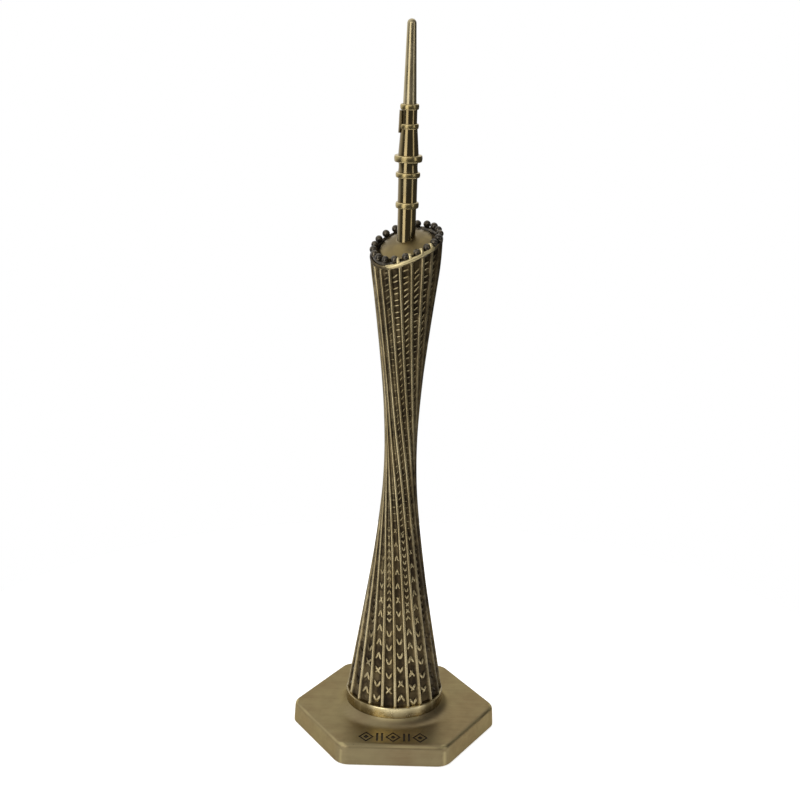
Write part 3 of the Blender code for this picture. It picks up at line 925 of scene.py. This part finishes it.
def bay_strokes():
    """Small raised marks up the bays, each of two legs that meet or cross."""
    parts = []
    for bay in range(RIBS):
        z = COLLAR_TOP + STROKE_START + (STROKE_STAGGER * bay % 1.0 - 1.0) * STROKE_PITCH
        step = STROKE_PITCH
        row = -1
        while z < RIM_Z + 6.0 * MM:
            phase = (row - CHANGE_FIRST) / CHANGE_ROWS + CHANGE_TURN * bay
            crossing = min(1.0, max(-1.0, CHANGE_SPEED * math.sin(TAU * phase)))
            close = bay % 2 == 1 and CLOSE_FROM < z < UPPER_Z
            size = CLOSE_PITCH if close else 1.0
            for side in (-1.0, 1.0):
                path = mark_leg(bay, z, side, crossing, CLOSE_HALF if close else STROKE_HALF)
                middle = path[len(path) // 2]
                limit = RIM_Z - HIGHEST_MARK + slope(middle[0], middle[1])
                if middle[2] > limit or middle[2] < COLLAR_TOP + LOWEST_MARK:
                    continue
                outward = np.array([middle[0], middle[1], 0.0])
                outward /= np.linalg.norm(outward)
                along = path[-1] - path[0]
                along /= np.linalg.norm(along)
                across = np.cross(outward, along)
                radius = tower_radius(middle[2])
                depth = rib_sizes(bay, middle[2], radius)[2]
                width = min((0.55 + 0.040 * radius / MM) * MM, 0.75 * half_bay(bay, middle[2], radius))
                if z > UPPER_Z:
                    width *= DASH_THIN
                elif close:
                    width *= CLOSE_THIN
                height = STROKE_RELIEF * depth
                points, faces, wear_and_light = ridge(path, outward, across, width, height, 0.12 * MM)
                # painted highlight: the strokes are paler where they face the front
                stroke_light = strokes_front_light(math.atan2(middle[1], middle[0]), middle[2])
                parts.append((points, faces, [stroke_light * value for value in wear_and_light]))
            z += size * step
            step *= STROKE_SHRINK
            row += size
    add_piece("bay_strokes", None, merge(parts), "patina")


def rim_radius(angle):
    """Radius of the tower where its sloping rim is, in a direction."""
    radius = tower_radius(RIM_Z)
    for _ in range(4):
        radius = tower_radius(RIM_Z + slope(radius * math.cos(angle), radius * math.sin(angle)))
    return radius


def rim_point(angle, inset, up, lifted=1.0):
    """Point inside the rim; lifted says how much it follows the climb of the band."""
    distance = rim_radius(angle) - inset
    x, y = distance * math.cos(angle), distance * math.sin(angle)
    return np.array([x, y, RIM_Z + slope(x, y) + lifted * lip(angle) + up])


def tube(path, radii, sides=10):
    """Round bar along points, with its own radius at each of them."""
    loops = []
    for k, point in enumerate(path):
        ahead = path[min(k + 1, len(path) - 1)] - path[max(k - 1, 0)]
        ahead = ahead / np.linalg.norm(ahead)
        across = np.cross(ahead, np.array([0.0, 0.0, 1.0]))
        if np.linalg.norm(across) < 1e-6:
            across = np.array([1.0, 0.0, 0.0])
        across /= np.linalg.norm(across)
        over = np.cross(across, ahead)
        loop = []
        for s in range(sides):
            turn = TAU * s / sides
            loop.append(tuple(point + radii[k] * (math.cos(turn) * across + math.sin(turn) * over)))
        loops.append(loop)
    return skin(loops)


def rim_fingers():
    """On the bright stretch a bar runs along the band, and pointed fingers curl in from the ribs."""
    parts = []
    bar, radii = [], []
    steps = 48
    for k in range(steps + 1):
        t = k / steps
        angle = FRONT + math.radians(BAR_FROM + (BAR_TO - BAR_FROM) * t)
        end = max(0.0, abs(2.0 * t - 1.0) - 0.9) / 0.1
        bar.append(rim_point(angle, (0.20 + 0.2 * end) * MM, -0.27 * MM))
        radii.append((0.64 - 0.25 * end) * MM)
    parts.append(even(tube(bar, radii, 12), 1.0))
    for rib in range(RIBS):
        angle = rib_angle(rib, RIM_Z)
        if faced(angle, 18.0, 36.0, 44.0) < 0.5:
            continue
        path, radii = [], []
        steps = 12
        for k in range(steps + 1):
            t = k / steps
            inset = (0.20 + 1.2 * t ** 2) * MM
            up = (-0.4 + 1.9 * math.sin(min(1.0, 1.15 * t) * math.pi / 2.0)) * MM
            path.append(rim_point(angle - FINGER_LEAN * (0.4 + t), inset, up))
            radii.append((0.18 + 0.48 * math.sin(math.pi * (0.25 + 0.72 * t))) * MM)
        parts.append(even(tube(path, radii), 1.0))
    add_piece("rim_fingers", None, merge(parts), "rim")


def sphere(centre, radius, around=20, rows=12):
    """Ball of rings, with small flat caps at the poles."""
    loops = []
    for k in range(rows + 1):
        latitude = math.radians(-88.0 + 176.0 * k / rows)
        ring = radius * math.cos(latitude)
        z = centre[2] + radius * math.sin(latitude)
        loops.append([(centre[0] + x, centre[1] + y, z) for x, y, _ in circle(ring, 0.0, around)])
    return skin(loops)


def beads():
    """Near-black beads, one to a bay, let into a narrow seat inside the rim."""
    parts = []
    for k in range(RIBS):
        angle = rib_angle(k + 0.5, RIM_Z)
        centre = rim_point(angle, BEAD_IN, BEAD_UP, 0.6)
        parts.append(even(sphere(centre, BEAD_RADIUS * rng.uniform(0.97, 1.05))))
    steps = 160
    seat = ((0.75, -0.75), (0.85, 0.35), (1.15, 0.6), (1.6, 0.55), (1.95, 0.2), (2.0, -0.75))
    loops = []
    for k in range(steps):
        angle = TAU * k / steps
        loops.append([tuple(rim_point(angle, inset * MM, up * MM, 0.3)) for inset, up in seat])
    parts.append(even(skin(loops, closed=True)))
    add_piece("beads", "bead_ring", merge(parts), "bead", sharp=60)


def deck_disc():
    """Smooth domed disc inside the beads, with the mast's hole in its middle."""
    bore = MAST_RADII[0][0] + 0.02 * MM
    low = RIM_Z - RECESS + 0.05 * MM
    edge = RIM_Z + 0.9 * MM
    corners = [
        (bore, low), (DECK_RADIUS - 0.1 * MM, low), (DECK_RADIUS, low + 0.3 * MM), (DECK_RADIUS, edge),
    ]
    dome = []
    steps = 10
    for k in range(1, steps + 1):
        share = k / steps
        radius = DECK_RADIUS - (DECK_RADIUS - bore) * share
        dome.append((radius, edge + DECK_RISE * math.sin(share * math.pi / 2.0)))
    profile = fillet(corners + dome[:2], 0.45 * MM, 5) + dome[2:]
    points, faces, wear_and_light = lathe(profile, 120, closed=True)
    tilted = [(x, y, z + slope(x, y)) for x, y, z in points]
    add_piece("deck_disc", "deck_cap", (tilted, faces, wear_and_light), "deck", sharp=50)


# ================ mast

MAST_RADII = (
    # rod radius at the bottom, middle and top of each stretch below a ring
    (3.05 * MM, 3.05 * MM, 3.05 * MM),
    (3.18 * MM, 3.16 * MM, 3.18 * MM),
    (3.38 * MM, 3.12 * MM, 3.32 * MM),
    (3.40 * MM, 3.08 * MM, 2.75 * MM),
    (2.55 * MM, 2.55 * MM, 2.55 * MM),
)


def mast_shaft():
    """Turned rod with chamfered ends, its upper stretches tapered or waisted between the rings."""
    chamfer = 0.4 * MM
    low = bottom("mast_rod")
    foot = MAST_RADII[0][0]
    profile = [(foot - chamfer, low), (foot, low + chamfer)]
    start = low + 2.0 * chamfer
    for node, (below, middle, above) in zip(RING_NODES, MAST_RADII):
        end = bottom(node) + 0.25 * MM
        steps = 6
        for k in range(steps + 1):
            t = k / steps
            # the parabola through the three radii
            radius = below * (1 - t) * (1 - 2 * t) + 4 * t * (1 - t) * middle + above * t * (2 * t - 1)
            profile.append((radius, start + (end - start) * t))
        start = top(node) - 0.25 * MM
    rod_top = top(RING_NODES[-1]) - 0.5 * MM
    profile.append((MAST_RADII[-1][0] - 0.2 * MM, rod_top - 0.2 * MM))
    profile.append((1.2 * MM, rod_top))
    shape = even(lathe(profile, 72)[:2], 0.25)
    add_piece("mast_shaft", "mast_rod", shape, "mast", sharp=40)


def spire():
    """Tapered tip with a round end."""
    tip_radius = 1.5 * MM
    foot_radius = 2.2 * MM
    chamfer = 0.1 * MM
    low = top(RING_NODES[-1]) - 0.4 * MM
    start = low + chamfer
    round_z = top("mast_spire") - tip_radius
    profile = [(foot_radius - chamfer, low)]
    steps = 12
    for k in range(steps + 1):
        t = k / steps
        profile.append((foot_radius + (tip_radius - foot_radius) * t, start + (round_z - start) * t))
    for k in range(1, 9):
        angle = math.radians(10.0 * k)
        profile.append((tip_radius * math.cos(angle), round_z + tip_radius * math.sin(angle)))
    add_piece("spire", "mast_spire", even(lathe(profile, 56)[:2]), "spire", sharp=40)


def mast_ring(index, node):
    """Crowned ring round the mast, its bore a little inside the rod's surface."""
    low, high = bottom(node), top(node)
    outer = reach(node)
    above = min(index + 1, len(MAST_RADII) - 1)
    inner = min(MAST_RADII[index][2], MAST_RADII[above][0]) - 0.15 * MM
    middle = (low + high) / 2.0
    crown = 0.018 * MM
    taper = 0.12 * MM
    half_flat = 0.2 * MM
    corners = [
        (inner, low), (outer - taper, low), (outer, middle - half_flat),
        (outer + crown, middle + half_flat), (outer - taper, high), (inner, high),
    ]
    shape = lathe(fillet(corners, 0.32 * MM, 4), 72, closed=True)
    add_piece(f"ring_{index + 1}", node, shape, "ring", sharp=50)


def side_plate():
    """Small dark plate along the left of the mast, narrower at its lower end."""
    low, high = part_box("mast_side_plate")
    outer = -low[0]
    inner = MAST_RADII[-1][0] - 0.05 * MM
    half = math.radians(34.0)
    columns = 9
    shares = [-1.0 + 2.0 * c / (columns - 1) for c in range(columns)]
    rows = 14
    loops = []
    for r in range(rows + 1):
        t = r / rows
        z = low[2] + (high[2] + 0.4 * MM - low[2]) * t
        narrowed = half * (0.55 + 0.45 * min(1.0, 3.0 * t))
        loop = []
        for s in shares:
            angle = math.pi + narrowed * s
            bulge = outer - (0.25 * t + 0.35 * s * s) * MM
            drawn = z - 0.3 * MM * (1.0 - s * s) * (1.0 - t) ** 2
            loop.append((bulge * math.cos(angle), bulge * math.sin(angle), max(drawn, low[2])))
        for s in reversed(shares):
            angle = math.pi + narrowed * s
            loop.append((inner * math.cos(angle), inner * math.sin(angle), z))
        loops.append(loop)
    shape = even(skin(loops), 0.1)
    add_piece("side_plate", "mast_side_plate", shape, "mast", sharp=50)


# ================ studio

CAMERA_BACK = 507.8 * MM
CAMERA_HEIGHT = BASE_TOP + 267.4 * MM
CAMERA_LEFT = 0.66 * MM
CAMERA_DOWN = math.radians(16.74)
CAMERA_ROLL = math.radians(1.5)
CAMERA_LENS = 69.75
FLOOR_RADIUS = 0.20


def studio():
    """Camera, white floor, a soft box on each side, one above the front, and the surround."""
    camera_data = bpy.data.cameras.new("camera")
    camera_data.lens = CAMERA_LENS
    camera_data.sensor_width = 36.0
    camera_data.clip_start = 0.01
    camera_data.clip_end = 50.0
    camera = bpy.data.objects.new("camera", camera_data)
    camera.location = (-CAMERA_LEFT, -CAMERA_BACK, CAMERA_HEIGHT)
    down = Matrix.Rotation(math.radians(90.0) - CAMERA_DOWN, 4, "X")
    camera.rotation_euler = (down @ Matrix.Rotation(CAMERA_ROLL, 4, "Z")).to_euler("XYZ")
    bpy.context.scene.collection.objects.link(camera)
    bpy.context.scene.camera = camera

    floor_mat, tree, shader = new_material("floor", 0.0, 0.75, (0.9, 0.9, 0.9))
    shader.inputs["Specular IOR Level"].default_value = 0.2
    shader.inputs["Emission Color"].default_value = (1.0, 1.0, 1.0, 1.0)
    path = tree.nodes.new("ShaderNodeLightPath")
    glow = spread(tree, path.outputs["Is Camera Ray"], 0.0, 1.0, 0.40, 0.7)
    tree.links.new(glow, shader.inputs["Emission Strength"])
    points, faces = skin([circle(0.02, 0.0, 96), circle(0.15, 0.0, 96), circle(FLOOR_RADIUS, 0.0, 96)])
    floor = bpy.data.meshes.new("floor")
    floor.from_pydata(points, [], faces[:-1])
    floor.materials.append(floor_mat)
    floor_obj = bpy.data.objects.new("floor", floor)
    floor_obj.location = (0.0, 0.0, CAD_BOX[0][2] - 0.02 * MM)
    bpy.context.scene.collection.objects.link(floor_obj)

    soft_box("box_left", -34.0, 0.0, 0.2, 0.56, 1.2, 2.05)
    soft_box("box_right", 60.0, 0.0, 0.36, 0.26, 0.9, 1.3)
    soft_box("box_over_front", -4.0, 36.0, 0.1, 1.0, 0.6, 0.9)
    surround()


def soft_box(name, azimuth, elevation, aimed, wide, tall, radiance):
    """Light a metre from the point of the axis at the aimed height; azimuth is from front to +X."""
    light = bpy.data.lights.new(name, "AREA")
    light.shape = "RECTANGLE"
    light.size = wide
    light.size_y = tall
    light.energy = radiance * math.pi * wide * tall
    light.color = (1.0, 0.985, 0.96)
    lamp = bpy.data.objects.new(name, light)
    round_z = math.radians(azimuth)
    rise = math.radians(elevation)
    flat = math.cos(rise)
    lamp.location = (flat * math.sin(round_z), -flat * math.cos(round_z), aimed + math.sin(rise))
    lamp.rotation_euler = (math.radians(90.0) - rise, 0.0, round_z)
    lamp.visible_camera = False
    bpy.context.scene.collection.objects.link(lamp)


def surround():
    """Light from above, the left and the back; dim in front, to the right and below the horizon."""
    world = bpy.data.worlds.new("surround")
    bpy.context.scene.world = world
    world.use_nodes = True
    tree = world.node_tree
    background = tree.nodes["Background"]
    coord = tree.nodes.new("ShaderNodeTexCoord")
    aim = tree.nodes.new("ShaderNodeVectorMath")
    aim.operation = "DOT_PRODUCT"
    aim.inputs[1].default_value = (-0.45, 0.60, 0.66)
    tree.links.new(coord.outputs["Generated"], aim.inputs[0])
    light = spread(tree, aim.outputs["Value"], 0.15, 0.72, 0.09, 1.0)
    path = tree.nodes.new("ShaderNodeLightPath")
    seen = math_node(tree, "MAXIMUM", light, path.outputs["Is Camera Ray"])
    tree.links.new(seen, background.inputs["Color"])
    bpy.context.scene.view_settings.view_transform = "Standard"


MATERIALS = {
    "satin": satin_brass(),
    "deck": deck_brass(),
    "patina": patina_brass(),
    "collar": turned_brass("collar_brass", (0.82, 0.70, 0.41), (0.34, 0.265, 0.13), 0.26, 140.0),
    "rim": turned_brass("rim_brass", (0.76, 0.64, 0.35), (0.52, 0.42, 0.20), 0.38, 200.0),
    "ring": turned_brass("ring_brass", (0.60, 0.49, 0.25), (0.42, 0.33, 0.145), 0.28, 260.0),
    "mast": turned_brass("mast_brass", (0.37, 0.31, 0.18), (0.28, 0.215, 0.10), 0.13, 200.0),
    "spire": turned_brass("spire_brass", (0.57, 0.485, 0.30), (0.47, 0.39, 0.22), 0.29, 200.0),
    "bead": black_bead(),
    "engraving": engraving_paint(),
    "felt": felt(),
    "steel": zinc_steel(),
}

studio()
base_casting()
foot_ring()
felt_sheet()
tower_skin()
bay_strokes()
rim_fingers()
beads()
deck_disc()
mast_shaft()
for ring_index, ring_node in enumerate(RING_NODES):
    mast_ring(ring_index, ring_node)
spire()
side_plate()
for hidden in ("base_screw", "base_washer"):
    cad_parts[hidden].data.materials.clear()
    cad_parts[hidden].data.materials.append(MATERIALS["steel"])
